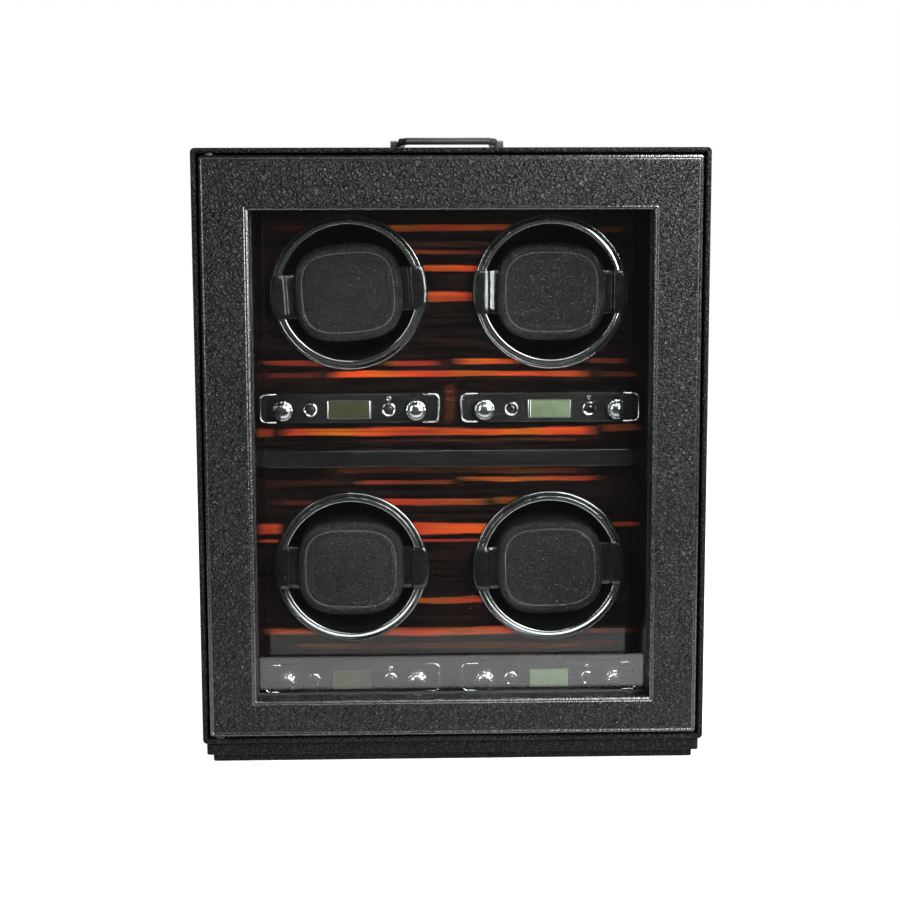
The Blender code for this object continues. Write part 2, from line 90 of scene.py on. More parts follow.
# Drum
RIM_R, RIM_INNER_R, CUP_R = 45.0, 42.2, 41.8
RIM_DEPTH = 5.0
GEAR_TEETH, GEAR_MODULE = 36, 1.25
GEAR_FRONT, GEAR_BACK = 16.5, 20.5

# Controls
BUTTON_X = 24.5      # from the middle of the plate to a button, on either side
LED_BELOW = 66.0     # from the drum's axis down to the lamp
TRIM_R, LIP_R = 0.85, 0.4

LOOKS = {}           # materials by name, filled by make_looks()


def extent(node):
    """Lowest and highest corner of a CAD node, in millimetres."""
    low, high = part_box(node)
    return low / MM, high / MM


def centre_of(node):
    low, high = extent(node)
    return (low + high) / 2


# ---- mesh helpers

def add_object(name, data):
    """Puts a mesh, a lamp or a camera into the scene."""
    made = bpy.data.objects.new(name, data)
    bpy.context.scene.collection.objects.link(made)
    return made


def make_piece(name, bm, look, body, replaces=(), sharp=35):
    """Turns a bmesh in millimetres into a piece that rides on a body."""
    bmesh.ops.recalc_face_normals(bm, faces=bm.faces)
    bmesh.ops.scale(bm, vec=(MM, MM, MM), verts=bm.verts)
    mesh = bpy.data.meshes.new(name)
    bm.to_mesh(mesh)
    bm.free()
    mesh.materials.append(LOOKS[look])
    mesh.set_sharp_from_angle(angle=math.radians(sharp))
    piece = add_object(name, mesh)
    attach(piece, body)
    if replaces:
        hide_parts(*replaces)
    return piece


def soften(piece, width, segments):
    """Rounds the sharp edges of a piece."""
    bevel = piece.modifiers.new("soft edges", "BEVEL")
    bevel.width = width * MM
    bevel.segments = segments
    bevel.limit_method = "ANGLE"
    bevel.angle_limit = math.radians(40)
    bevel.harden_normals = True


def dress(node, look, edge=0.0, segments=3):
    """Gives a CAD node its finish and, if edge is set, rounded edges."""
    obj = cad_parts[node]
    obj.data.materials.clear()
    obj.data.materials.append(LOOKS[look])
    if edge:
        soften(obj, edge, segments)
    return obj


def add_loops(bm, loops, closed=False):
    """Skins loops of equal length. The ends are capped, or joined where closed is set."""
    rows = [[bm.verts.new(point) for point in loop] for loop in loops]
    pairs = list(zip(rows, rows[1:]))
    if closed:
        pairs.append((rows[-1], rows[0]))
    for row, after in pairs:
        for i in range(len(row)):
            j = (i + 1) % len(row)
            bm.faces.new((row[i], row[j], after[j], after[i]))
    if not closed:
        bm.faces.new(rows[0])
        bm.faces.new(rows[-1][::-1])


def rounded_loop(low, high, inset, y, radius, steps=6):
    """A box's outline as seen from the front, drawn in by inset, with rounded corners."""
    x0, x1, z0, z1 = low.x + inset, high.x - inset, low.z + inset, high.z - inset
    points = []
    corners = ((x1, z1, 1, 1), (x0, z1, -1, 1), (x0, z0, -1, -1), (x1, z0, 1, -1))
    for turn, (x, z, sx, sz) in enumerate(corners):
        for step in range(steps + 1):
            a = math.radians(90 * (turn + step / steps))
            points.append((x - sx * radius + radius * math.cos(a), y,
                           z - sz * radius + radius * math.sin(a)))
    return points


def arc(x0, y0, x1, y1, steps=5):
    """A quarter turn from (x0, y0) to (x1, y1) that leaves along the second axis."""
    points = []
    for step in range(steps + 1):
        a = math.radians(90 * step / steps)
        points.append((x0 + (x1 - x0) * (1 - math.cos(a)), y0 + (y1 - y0) * math.sin(a)))
    return points


def add_turned(bm, profile, centre, segments, wobble=None):
    """A closed (radius, y) profile turned about an axis along Y. Its points on the axis have
    radius 0, and wobble(angle, radius) scales each radius."""
    cx, cy, cz = centre
    rings = []
    for radius, y in profile:
        if radius == 0:
            rings.append([bm.verts.new((cx, cy + y, cz))] * segments)
            continue
        ring = []
        for i in range(segments):
            a = 2 * math.pi * i / segments
            r = radius * (wobble(a, radius) if wobble else 1)
            ring.append(bm.verts.new((cx + r * math.cos(a), cy + y, cz + r * math.sin(a))))
        rings.append(ring)
    for ring, following in zip(rings, rings[1:] + rings[:1]):
        for i in range(segments):
            j = (i + 1) % segments
            corners = list(dict.fromkeys((ring[i], ring[j], following[j], following[i])))
            if len(corners) > 2:
                bm.faces.new(corners)


def add_rod(bm, points, radius, sides=8, closed=False, domed=True):
    """A round rod along a list of points."""
    points = [Vector(p) for p in points]
    count = len(points)
    loops = []
    side = None
    for i, point in enumerate(points):
        before = points[i - 1] if closed or i else point
        following = points[(i + 1) % count] if closed or i < count - 1 else point
        along = (following - before).normalized()
        if side is None:
            side = along.orthogonal().normalized()
        side = (side - along * side.dot(along)).normalized()
        other = along.cross(side)
        loop = [point + radius * (math.cos(a) * side + math.sin(a) * other)
                for a in (2 * math.pi * k / sides for k in range(sides))]
        if domed and not closed and i in (0, count - 1):
            out = -along if i == 0 else along
            dome = [[point + (q - point) * math.cos(b) + out * radius * math.sin(b) for q in loop]
                    for b in (math.radians(25), math.radians(50), math.radians(72))]
            loops += dome[::-1] + [loop] if i == 0 else [loop] + dome
        else:
            loops.append(loop)
    add_loops(bm, loops, closed=closed)


def add_block(bm, x0, x1, y0, y1, z0, z1, edge):
    """A block whose edges are cut back a little, so that they catch the light."""
    def ring(inset, y):
        return [(x0 + inset, y, z0 + inset), (x1 - inset, y, z0 + inset),
                (x1 - inset, y, z1 - inset), (x0 + inset, y, z1 - inset)]
    add_loops(bm, [ring(edge, y0), ring(0, y0 + edge), ring(0, y1 - edge), ring(edge, y1)])


def make_turned(name, profile, at, segments, look, body, replaces=()):
    """A piece that is one turned profile."""
    bm = bmesh.new()
    add_turned(bm, profile, at, segments)
    make_piece(name, bm, look, body, replaces)


def make_screws(name, spots, y, radius, body):
    """Countersunk cross-head screws at (x, z) spots, with their heads towards +Y."""
    deep, slot_long, slot_half = radius * 0.42, radius * 0.62, radius * 0.13
    bm = bmesh.new()
    for x, z in spots:
        add_turned(bm, [(0, 0), (radius * 0.3, 0), (radius, -0.05), (radius, -deep), (0, -deep)],
                   (x, y, z), 24)
        for w, h in ((slot_half, slot_long), (slot_long, slot_half)):
            add_block(bm, x - w, x + w, y - 0.3, y + 0.04, z - h, z + h, 0.02)
    make_piece(name, bm, "steel", body)


# ---- materials

def grey(level):
    return level, level, level


class Nodes:
    """Short ways to make and join the nodes of a tree."""

    def __init__(self, tree):
        self.tree = tree

    def node(self, kind, inputs=None, **settings):
        made = self.tree.nodes.new("ShaderNode" + kind)
        for name, value in settings.items():
            setattr(made, name, value)
        for socket, value in (inputs or {}).items():
            if isinstance(value, bpy.types.NodeSocket):
                self.tree.links.new(value, made.inputs[socket])
            else:
                made.inputs[socket].default_value = value
        return made

    def math(self, operation, a, b=0.0, clamp=False):
        return self.node("Math", {0: a, 1: b}, operation=operation, use_clamp=clamp).outputs[0]

    def times(self, a, b):
        return self.math("MULTIPLY", a, b)

    def apart(self, a, b):
        """How far two numbers are from each other."""
        return self.math("ABSOLUTE", self.math("SUBTRACT", a, b))

    def between(self, value, low, high, to_low=0.0, to_high=1.0, smooth=False):
        """Maps low..high of value to to_low..to_high."""
        return self.node("MapRange", {0: value, 1: low, 2: high, 3: to_low, 4: to_high},
                         interpolation_type="SMOOTHSTEP" if smooth else "LINEAR").outputs[0]

    def blend(self, factor, a, b, kind="MIX"):
        """A colour from a to b, or what kind makes of the two."""
        a, b = (c if isinstance(c, bpy.types.NodeSocket) else (*c, 1.0) for c in (a, b))
        return self.node("Mix", {0: factor, 6: a, 7: b}, data_type="RGBA",
                         blend_type=kind).outputs[2]


class Look(Nodes):
    """A Principled material whose colour, roughness and relief come from nodes."""

    def __init__(self, name, **constants):
        self.material = bpy.data.materials.new(name)
        self.material.use_nodes = True
        super().__init__(self.material.node_tree)
        self.shader = self.tree.nodes["Principled BSDF"]
        self.place = self.node("TexCoord").outputs["Object"]
        for socket, value in constants.items():
            self.shader.inputs[socket.replace("_", " ")].default_value = value

    def axis(self, name):
        return self.node("SeparateXYZ", {0: self.place}).outputs[name]

    def stretched(self, x, y, z):
        """Coordinates squeezed along each axis."""
        return self.node("VectorMath", {0: self.place, 1: (x, y, z)},
                         operation="MULTIPLY").outputs[0]

    def warped(self, size, amount):
        """Coordinates pushed about by a soft noise. Both sizes are in millimetres."""
        push = self.node("TexNoise", {"Vector": self.place, "Scale": 1 / (size * MM)})
        centred = self.node("VectorMath", {0: push.outputs["Color"], 1: grey(0.5)},
                            operation="SUBTRACT").outputs[0]
        scaled = self.node("VectorMath", {0: centred, "Scale": amount * MM},
                           operation="SCALE").outputs[0]
        return self.node("VectorMath", {0: self.place, 1: scaled}, operation="ADD").outputs[0]

    def noise(self, size, detail=3.0, place=None, rough=0.5):
        """Soft noise whose blobs are about size millimetres across."""
        return self.node("TexNoise", {"Vector": place or self.place, "Scale": 1 / (size * MM),
                                      "Detail": detail, "Roughness": rough}).outputs[0]

    def cells(self, size, feature="DISTANCE_TO_EDGE", place=None):
        """Voronoi cells about size millimetres across."""
        return self.node("TexVoronoi", {"Vector": place or self.place, "Scale": 1 / (size * MM)},
                         feature=feature).outputs["Distance"]

    def set(self, socket, source):
        self.tree.links.new(source, self.shader.inputs[socket])

    def relief(self, *layers):
        """Bump layers of (height, distance in millimetres), the first one lowest."""
        normal = None
        for height, distance in layers:
            bump = self.node("Bump", {"Height": height, "Distance": distance * MM})
            if normal:
                self.tree.links.new(normal, bump.inputs["Normal"])
            normal = bump.outputs[0]
        self.set("Normal", normal)


def leather(name, grain, depth, dark, light, rough, scuff, shine):
    """Pebble-grained leather between two greys. grain is the size of a pebble and depth how deep
    the grain is, both in millimetres. Roughness runs from rough to scuff."""
    look = Look(name, IOR=1.5, Specular_IOR_Level=shine)
    place = look.warped(grain * 1.6, grain * 1.1)
    pebble = look.between(look.cells(grain, place=place), 0.0, 0.22, smooth=True)
    small = look.between(look.cells(grain * 0.45, place=place), 0.0, 0.3, smooth=True)
    pores = look.noise(grain * 0.3, 4.0)
    drift = look.noise(38, 4.0)
    creases = look.noise(grain * 9, 5.0, look.warped(30, 16))
    tone = look.times(look.between(drift, 0.3, 0.7), pebble)
    look.set("Base Color", look.blend(tone, grey(dark), grey(light)))
    worn = look.between(look.noise(11, 6.0, rough=0.7), 0.35, 0.75, rough, scuff)
    look.set("Roughness", look.math("SUBTRACT", worn, look.times(pebble, 0.06)))
    look.relief((drift, 0.5), (creases, depth * 0.9), (pebble, depth), (small, depth * 0.2),
                (pores, depth * 0.08))
    return look.material


def lifted(colour, factor, extra=0.001):
    return tuple(c * factor + extra for c in colour)


def gloss(name, colour, rough=0.09, depth=0.01, smear=0.12):
    """Moulded plastic or lacquer with fine scratches, handling smears and a little dust."""
    look = Look(name, Coat_Weight=0.6, Coat_Roughness=0.04, IOR=1.5, Specular_IOR_Level=0.2)
    smears = look.noise(16, 5.0, look.warped(20, 12), 0.6)
    dust = look.between(look.noise(0.5, 2.0), 0.66, 0.74)
    tint = look.between(look.noise(30), 0.3, 0.7)
    look.set("Base Color", look.blend(look.times(dust, 0.5),
                                      look.blend(tint, colour, lifted(colour, 1.6)),
                                      lifted(colour, 1, 0.03)))
    look.set("Roughness", look.between(smears, 0.35, 0.75, rough, rough + smear))
    look.relief((look.noise(9), depth * 4), (look.noise(0.35), depth * 0.3))
    return look.material


def matt_plastic(name, colour, rough=0.5):
    """Spark-eroded plastic: a fine even texture."""
    look = Look(name, IOR=1.5)
    tint = look.between(look.noise(22), 0.3, 0.7)
    look.set("Base Color", look.blend(tint, colour, lifted(colour, 1.5)))
    look.set("Roughness", look.between(look.noise(7, 5.0), 0.3, 0.7, rough - 0.1, rough + 0.12))
    look.relief((look.noise(0.28), 0.05))
    return look.material


def metal(name, colour, rough, brushed=(1, 1, 1), depth=0.004, spread=0.08):
    """Metal with a grain along the axis that brushed squeezes most."""
    look = Look(name, Metallic=1.0)
    grain = look.noise(0.5, 3.0, look.stretched(*brushed))
    stain = look.noise(14, 4.0)
    look.set("Base Color", look.blend(look.between(stain, 0.35, 0.7), colour,
                                      lifted(colour, 0.72, 0)))
    marks = look.math("ADD", look.times(grain, 0.6), look.times(stain, 0.4))
    look.set("Roughness", look.between(marks, 0.3, 0.7, rough, rough + spread))
    look.relief((grain, depth))
    return look.material


def felt(name, colour, sheen, shine=0.3):
    """Short nap, worn flat in places."""
    look = Look(name, Sheen_Weight=sheen, Sheen_Roughness=0.5, IOR=1.4,
                Specular_IOR_Level=shine)
    nap = look.noise(0.9, 6.0, rough=0.7)
    matted = look.noise(18, 4.0)
    look.set("Base Color", look.blend(look.times(nap, matted), colour, lifted(colour, 3, 0.01)))
    look.set("Roughness", look.between(matted, 0.3, 0.7, 0.85, 1.0))
    look.relief((matted, 0.25), (nap, 0.22))
    return look.material


# Streaks of the veneer: height above the ground, thickness, from x, to x, and how much they glow
STREAKS = (
    (323.6, 4.6, -118, -70, 0.24), (323.4, 3.4, -62, 62, 0.72), (322, 3, 70, 118, 0.34),
    (313.2, 2.4, -40, 50, 0.16), (308.6, 1.7, -46, 60, 0.36), (303.6, 1.4, -118, -60, 0.12),
    (298.8, 2.6, -60, 64, 0.86), (281.4, 4.8, -66, 30, 1), (281.2, 3.6, 25, 70, 0.34),
    (240, 2.5, -122, -62, 0.52), (239.4, 2.4, -48, 0, 0.5), (240.6, 2.7, -2, 52, 0.8),
    (240.8, 2.4, 78, 118, 0.36), (232.6, 2.6, -124, -75, 0.3), (232.7, 3, -80, 92, 1),
    (232.3, 2.6, 88, 124, 0.32), (196, 4.4, -124, -108, 0.6), (196, 4, -112, 96, 1),
    (197.6, 3, 92, 124, 0.5), (190.6, 1.6, -60, 92, 0.2), (171.6, 3.2, -80, 92, 0.26),
    (164, 2.2, -124, -60, 0.14), (164.2, 2, -66, 10, 0.44), (165.8, 2.2, 0, 100, 0.62),
    (151.4, 2.6, -118, -70, 0.22), (151.6, 3, -60, 30, 0.62), (152.4, 3, 20, 66, 0.5),
    (134.6, 5.2, -124, -104, 0.75), (134.2, 5.4, -60, 58, 0.96), (136.6, 2.6, 96, 124, 0.55),
    (127, 1.8, -124, -104, 0.55), (126.6, 1.3, -56, 56, 0.5), (120, 3, 40, 124, 0.14),
    (88.2, 3.4, -56, 52, 0.7), (88, 2, 70, 120, 0.2), (68.6, 3.2, -124, -70, 0.6),
    (67.6, 4, -60, 62, 0.78), (66.6, 3, 78, 124, 0.5), (58.4, 3.2, -110, 118, 0.26),
    (219, 9, -4.6, 4.6, 0.2), (208, 9, -4.6, 4.6, 0.16), (44, 3, -110, 60, 0.22),
)


def veneer_glow(look):
    """How brightly the streaks glow, from 0 to 1."""
    wave = look.noise(60, 2.0, look.stretched(0.5, 1, 1.4))
    ripple = look.noise(9, 3.0, look.stretched(0.25, 1, 1.0))
    shift = look.math("ADD", look.times(look.math("SUBTRACT", wave, 0.5), 4 * MM),
                      look.times(look.math("SUBTRACT", ripple, 0.5), 1.6 * MM))
    height = look.math("ADD", look.axis("Z"), shift)
    across = look.axis("X")
    swell = look.between(look.noise(26, 3.0, look.stretched(0.35, 1, 3.0)), 0.3, 0.7, 0.7, 1.2)
    glow = None
    for middle, thick, x0, x1, strength in STREAKS:
        off = look.math("DIVIDE", look.apart(height, middle * MM), swell)
        line = look.between(off, thick * 0.88 * MM, thick * 0.45 * MM, smooth=True)
        half = (x1 - x0) / 2
        taper = min(14, half * 0.6)
        fade = look.between(look.apart(across, (x0 + x1) / 2 * MM), half * MM,
                            (half - taper) * MM, 0.0, strength)
        this = look.times(line, fade)
        glow = look.math("MAXIMUM", glow, this) if glow else this
    threads = look.noise(1.5, 4.0, look.stretched(0.02, 1, 1), 0.6)
    patches = look.noise(34, 3.0, look.stretched(0.6, 1, 2))
    glow = look.times(glow, look.between(threads, 0.32, 0.6, 0.6, 1.1))
    return look.times(glow, look.between(patches, 0.35, 0.65, 0.75, 1.1))


def striped_lacquer():
    """Dark veneer with glowing streaks under lacquer on the board, plain black lacquer round it."""
    _, rail_back = extent("divider_rail")
    look = Look("striped_lacquer", Coat_Weight=1.0, Coat_Roughness=0.035, IOR=1.5,
                Coat_IOR=1.38, Specular_IOR_Level=0.0)
    ramp = look.node("ValToRGB", {0: veneer_glow(look)})
    stops = ramp.color_ramp.elements
    stops[0].color = (0.0, 0.0, 0.0, 1)
    stops[1].color = (0.29, 0.03, 0.005, 1)
    for at, colour in ((0.18, (0.014, 0.003, 0.002)), (0.45, (0.09, 0.009, 0.005)),
                       (0.75, (0.2, 0.019, 0.005))):
        stops.new(at).color = (*colour, 1)
    fibres = look.noise(2.2, 5.0, look.stretched(0.06, 1, 1.6), 0.65)
    ground = look.blend(look.between(fibres, 0.42, 0.75), (0.0008, 0.0006, 0.0006),
                        (0.0085, 0.0042, 0.0038))
    brown = look.blend(look.between(look.noise(48, 2.0), 0.42, 0.62), (1, 1, 1), (0.8, 1.7, 0.7))
    streak = look.blend(1.0, ramp.outputs[0], brown, "MULTIPLY")
    wood = look.blend(1.0, ground, streak, "ADD")
    near_face = look.between(look.apart(look.axis("Y"), rail_back.y * MM), 0.7 * MM, 0.5 * MM)
    within = look.between(look.math("ABSOLUTE", look.axis("X")), 124.2 * MM, 124.0 * MM)
    dust = look.between(look.noise(0.6, 2.0), 0.67, 0.75, 0.0, 0.4)
    black = look.blend(dust, (0.004, 0.004, 0.0045), grey(0.03))
    look.set("Base Color", look.blend(look.times(near_face, within), black, wood))
    look.set("Roughness", look.between(fibres, 0.3, 0.7, 0.3, 0.45))
    look.relief((look.noise(22, 2.0), 0.03), (fibres, 0.012))
    return look.material


def door_glass():
    """Clear glass with a faint haze of finger marks."""
    look = Look("door_glass", Transmission_Weight=1.0, IOR=1.46, Base_Color=(0.93, 0.97, 0.96, 1))
    marks = look.between(look.noise(26, 6.0, look.warped(30, 25), 0.7), 0.55, 0.8)
    look.set("Roughness", look.times(marks, 0.035))
    look.relief((look.noise(90, 2.0), 0.02))
    return look.material


def display(name, dim, lit):
    """Liquid crystal behind a clear film: paler in soft clouds, with a faint mesh of rows."""
    look = Look(name, Coat_Weight=1.0, Coat_Roughness=0.03, IOR=1.45,
                Specular_IOR_Level=0.12)
    rows = look.node("TexWave", {"Vector": look.place, "Scale": 1 / (2.4 * MM)},
                     bands_direction="Z").outputs[1]
    cloud = look.noise(9)
    tone = look.math("ADD", look.times(cloud, 0.8), look.times(rows, 0.12))
    look.set("Base Color", look.blend(look.between(tone, 0.25, 0.7), dim, lit))
    look.set("Roughness", look.between(cloud, 0.3, 0.7, 0.28, 0.4))
    look.relief((look.noise(1.2, 2.0), 0.01))
    return look.material


def circuit():
    """Green solder mask over copper tracks."""
    look = Look("circuit_board", Coat_Weight=0.5, Coat_Roughness=0.2, IOR=1.5)
    tracks = look.node("TexBrick", {"Vector": look.stretched(1, 0, 1), "Scale": 1 / (14 * MM),
                                    "Mortar Size": 0.03, "Bias": 0.2}).outputs["Color"]
    pads = look.between(look.cells(4.2, "F1"), 0.16, 0.12)
    row = look.math("FRACT", look.times(look.axis("Z"), 1 / (2.6 * MM)))
    lines = look.between(look.apart(row, 0.5), 0.14, 0.1)
    mask = look.times(lines, look.between(look.noise(9, 1.0, tracks), 0.45, 0.5))
    green = look.blend(mask, (0.008, 0.06, 0.025), (0.02, 0.13, 0.05))
    look.set("Base Color", look.blend(pads, green, (0.45, 0.42, 0.36)))
    look.set("Roughness", look.between(look.noise(5, 4.0), 0.3, 0.7, 0.3, 0.5))
    look.relief((mask, 0.04), (pads, 0.05))
    return look.material


def make_looks():
    """Fills LOOKS with a material for each finish."""
    LOOKS.update({
        "case": leather("case_leather", 3.2, 1.8, 0.0015, 0.007, 0.32, 0.42, 0.27),
        "shell": leather("shell_leather", 3.2, 1.6, 0.002, 0.008, 0.48, 0.58, 0.14),
        "foot": leather("foot_leather", 3.2, 1.2, 0.002, 0.005, 0.45, 0.55, 0.12),
        "burnished": leather("burnished_edge", 2.6, 0.05, 0.004, 0.008, 0.2, 0.3, 1.0),
        "cuff": leather("cuff_leather", 1.6, 0.7, 0.002, 0.007, 0.36, 0.5, 0.3),
        "gloss": gloss("gloss_black", grey(0.003)),
        "plate": gloss("plate_black", grey(0.0025), 0.18),
        "wing": gloss("wing_black", grey(0.0015), 0.16, 0.003, 0.04),
        "gunmetal": gloss("gunmetal_enamel", (0.013, 0.013, 0.014), 0.32, 0.006, 0.1),
        "led": gloss("led_lens", (0.05, 0.05, 0.055), 0.1),
        "plastic": matt_plastic("matt_black", (0.010, 0.010, 0.011)),
        # The thread's dark grey is lifted above black to stand in for the highlight along the
        # stitched groove: partly the thread's own colour, partly painted highlight.
        "thread": matt_plastic("grey_thread_painted_highlight", (0.07, 0.07, 0.072), 0.6),
        "cup": felt("cup_flock", grey(0.0015), 0.0, 0.05),
        "lining": felt("back_felt", grey(0.008), 0.3),
        "chrome": metal("chrome", (0.74, 0.74, 0.76), 0.05, (1, 1, 1), 0.001, 0.05),
        "knob": metal("knob_chrome", (0.5, 0.5, 0.52), 0.1, (1, 1, 1), 0.003, 0.08),
        "blackened": metal("blackened_steel", (0.05, 0.05, 0.052), 0.35, (1, 1, 0.1), 0.006, 0.1),
        "steel": metal("steel", (0.5, 0.5, 0.51), 0.25, (1, 0.08, 1), 0.006, 0.15),
        "brass": metal("brass", (0.62, 0.44, 0.17), 0.22, (1, 0.1, 1), 0.005, 0.12),
        "stripes": striped_lacquer(),
        "glass": door_glass(),
        # The right displays get a paler copy of one display and the left ones a darker copy:
        # painted light and painted shade, not two kinds of display.
        "display_painted_shade": display("display_painted_shade", (0.011, 0.012, 0.005), (0.028, 0.03, 0.013)),
        "display_painted_light": display("display_painted_light", (0.053, 0.07, 0.04), (0.105, 0.136, 0.08)),
        "circuit": circuit(),
    })


# ---- the cabinet

def build_case():
    """Leather-covered case with rolled edges, as a sleeve that is open front and back."""
    low, high = extent("case_shell")
    door_low, _ = extent("door_frame")
    tray_low, tray_high = extent("front_board")
    door_gap, lip_roll, lead_in = 1.5, 1.5, 0.6
    lip = door_low.x - low.x - door_gap
    shoulder = tray_low.y - GAP

    def outer(inset, y):
        return rounded_loop(low, high, inset, y, max(CORNER_R - inset, 0.4))

    def inner(y, grow=0.0):
        return rounded_loop(tray_low, tray_high, -GAP - grow, y, 0.4)
    loops = [outer(inset, y) for y, inset in arc(high.y, EDGE_R, high.y - EDGE_R, 0)]
    loops += [outer(inset, y) for inset, y in arc(0, low.y + EDGE_R, EDGE_R, low.y)]
    loops += [outer(inset, y) for y, inset in arc(low.y, lip - lip_roll, low.y + lip_roll, lip)]
    loops += [outer(lip, shoulder), inner(shoulder), inner(high.y - lead_in),
              inner(high.y, lead_in)]
    bm = bmesh.new()
    add_loops(bm, loops, closed=True)
    make_piece("leather_case", bm, "shell", "cabinet", ["case_shell"])


def build_plinth():
    """Stepped base: a band just inside the case, and a set-back foot under it."""
    low, high = extent("base_plinth")
    foot_in, foot_h, roll = 3.7, 5.0, 0.8
    plan_low, plan_high = Vector((low.x, 0, low.y)), Vector((high.x, 0, high.y))

    def ring(inset, z):
        loop = rounded_loop(plan_low, plan_high, inset, z, max(2.2 - inset * 0.3, 0.5), 5)
        return [(x, y, z) for x, z, y in loop]
    loops = [ring(foot_in + 0.6, low.z), ring(foot_in, low.z + 0.6), ring(foot_in, foot_h)]
    loops += [ring(inset, z) for z, inset in arc(foot_h, roll, foot_h + roll, 0)]
    loops += [ring(0, high.z - roll), ring(0.25, high.z - 0.25), ring(0.8, high.z)]
    bm = bmesh.new()
    add_loops(bm, loops)
    make_piece("plinth", bm, "foot", "cabinet", ["base_plinth"])


def build_door():
    """Leather-covered frame with a creased, rolled edge, its glass and its retainer."""
    low, high = extent("door_frame")
    glass_low, _ = extent("door_glass")
    hole_low, hole_high = extent("glass_retainer")
    face, seat, lap = low.y, glass_low.y - GAP, 6.2

    def outer(inset, y):
        return rounded_loop(low, high, inset, y, max(DOOR_CORNER_R - inset * 0.5, 0.5))

    def window(grow, y):
        return rounded_loop(hole_low, hole_high, lap - grow, y, 0.8)
    # From either edge in across the front: how far from the edge, and how far behind the face
    border = [(0, BEVEL_D + 0.5), (0.15, BEVEL_D + 0.12), (0.5, BEVEL_D - 0.1), (BEVEL_W, 0.1),
              (BEVEL_W + 0.4, 0), (BEVEL_W + 0.9, CREASE_D), (BEVEL_W + 1.4, 0), (7, 0)]
    loops = [outer(0.5, high.y), outer(0, high.y - 0.5)]
    loops += [outer(inset, face + depth) for inset, depth in border]
    loops += [window(grow, face + depth) for grow, depth in border[::-1]]
    loops += [window(0, seat - 0.4), window(0.4, seat), window(lap + GAP, seat),
              window(lap + GAP, high.y)]
    bm = bmesh.new()
    add_loops(bm, loops, closed=True)
    door = make_piece("leather_door", bm, "case", "door", ["door_frame"])
    door.data.materials.append(LOOKS["burnished"])
    for polygon in door.data.polygons:
        depth = polygon.center.y / MM - face
        if 0.05 < depth < BEVEL_D + 0.4 and polygon.normal.y < -0.3:
            polygon.material_index = 1

    pane = dress("door_glass", "glass", 0.35, 2)
    pane.visible_shadow = False    # lamps light what stands behind the glass
    dress("glass_retainer", "plastic", 0.4)
    dress("strike_plate", "steel", 0.2)
    for end in ("upper", "lower"):
        dress(f"hinge_pin_{end}", "blackened", 0.25)

    margin, proud = lap / 2, 0.12
    span = hole_high - hole_low
    spots = [(x, hole_low.z + share * span.z) for x in (hole_low.x + margin, hole_high.x - margin)
             for share in (0.04, 0.27, 0.5, 0.73, 0.96)]
    spots += [(hole_low.x + share * span.x, z) for z in (hole_low.z + margin, hole_high.z - margin)
              for share in (0.25, 0.5, 0.75)]
    make_screws("retainer_screws", spots, hole_high.y + proud, 1.5, "door")

    strike_low, strike_high = extent("strike_plate")
    spots = [(centre_of("strike_plate").x, z) for z in (strike_low.z + 4, strike_high.z - 4)]
    make_screws("strike_screws", spots, strike_high.y + 0.1, 1.7, "door")


def build_insert():
    """Striped board, the divider rail between the two rows, magnet catch and circuit board."""
    dress("front_board", "stripes")
    low, high = extent("divider_rail")
    bead, sink, roll = 1.5, 0.9, 0.8
    section = [(high.y, low.z)]
    section += [(low.y + y, low.z + z) for y, z in arc(roll, 0, 0, roll, 4)]
    section += [(low.y, low.z + bead), (low.y + sink, low.z + bead + 0.5),
                (low.y + sink, high.z - bead - 0.5), (low.y, high.z - bead)]
    section += [(low.y + y, high.z - z) for y, z in arc(roll, 0, 0, roll, 4)[::-1]]
    section += [(high.y, high.z)]
    bm = bmesh.new()
    add_loops(bm, [[(x, y, z) for y, z in section] for x in (low.x, high.x)])
    make_piece("divider", bm, "gloss", "cabinet", ["divider_rail"])
    dress("magnet_catch", "steel", 0.4)
    dress("control_board", "circuit")


def build_back():
    """Felt-faced back panel with its screws, and the power inlet."""
    dress("back_panel", "lining", 0.5)
    low, high = extent("back_panel")
    margin = 7.0
    x, middle_z = high.x - margin, (low.z + high.z) / 2
    z0, z1 = low.z + margin, high.z - margin
    spots = [(-x, z0), (-x, middle_z), (-x, z1), (0, z0), (0, z1), (x, z0), (x, middle_z), (x, z1)]
    make_screws("back_screws", spots, high.y + 0.1, 2.6, "cabinet")

    low, high = extent("dc_inlet")
    rim = 2.0
    at = centre_of("dc_inlet")
    at.y = high.y - rim
    flange, barrel, bore, bore_depth, thread, turns = 8.5, 5.7, 3.2, 9.5, 0.25, 7
    profile = [(0, low.y - at.y), (barrel, low.y - at.y)]
    profile += [(barrel + thread * (step % 2), -0.8 * (step + 1))
                for step in reversed(range(turns))]
    profile += [(barrel, 0), (flange, 0), (flange, rim - 0.8), (flange - 0.25, rim - 0.25),
                (flange - 0.8, rim), (bore + 0.9, rim), (bore + 0.3, rim - 0.25),
                (bore, rim - 0.9), (bore, -bore_depth), (0, -bore_depth)]
    make_turned("inlet_socket", profile, at, 48, "plastic", "cabinet",
                ["dc_inlet"])
    make_turned("inlet_pin", [(0, 0.1 - bore_depth), (0.9, 0.1 - bore_depth), (0.9, -1.2),
                              (0.5, -0.6), (0, -0.5)], at, 24, "brass", "cabinet")
    make_turned("inlet_washer", [(flange + 1.4, 0.02), (flange + 1.4, 0.5), (flange + 1.1, 0.7),
                                 (flange - 0.4, 0.7), (flange - 0.4, 0.02)],
                at, 48, "chrome", "cabinet")


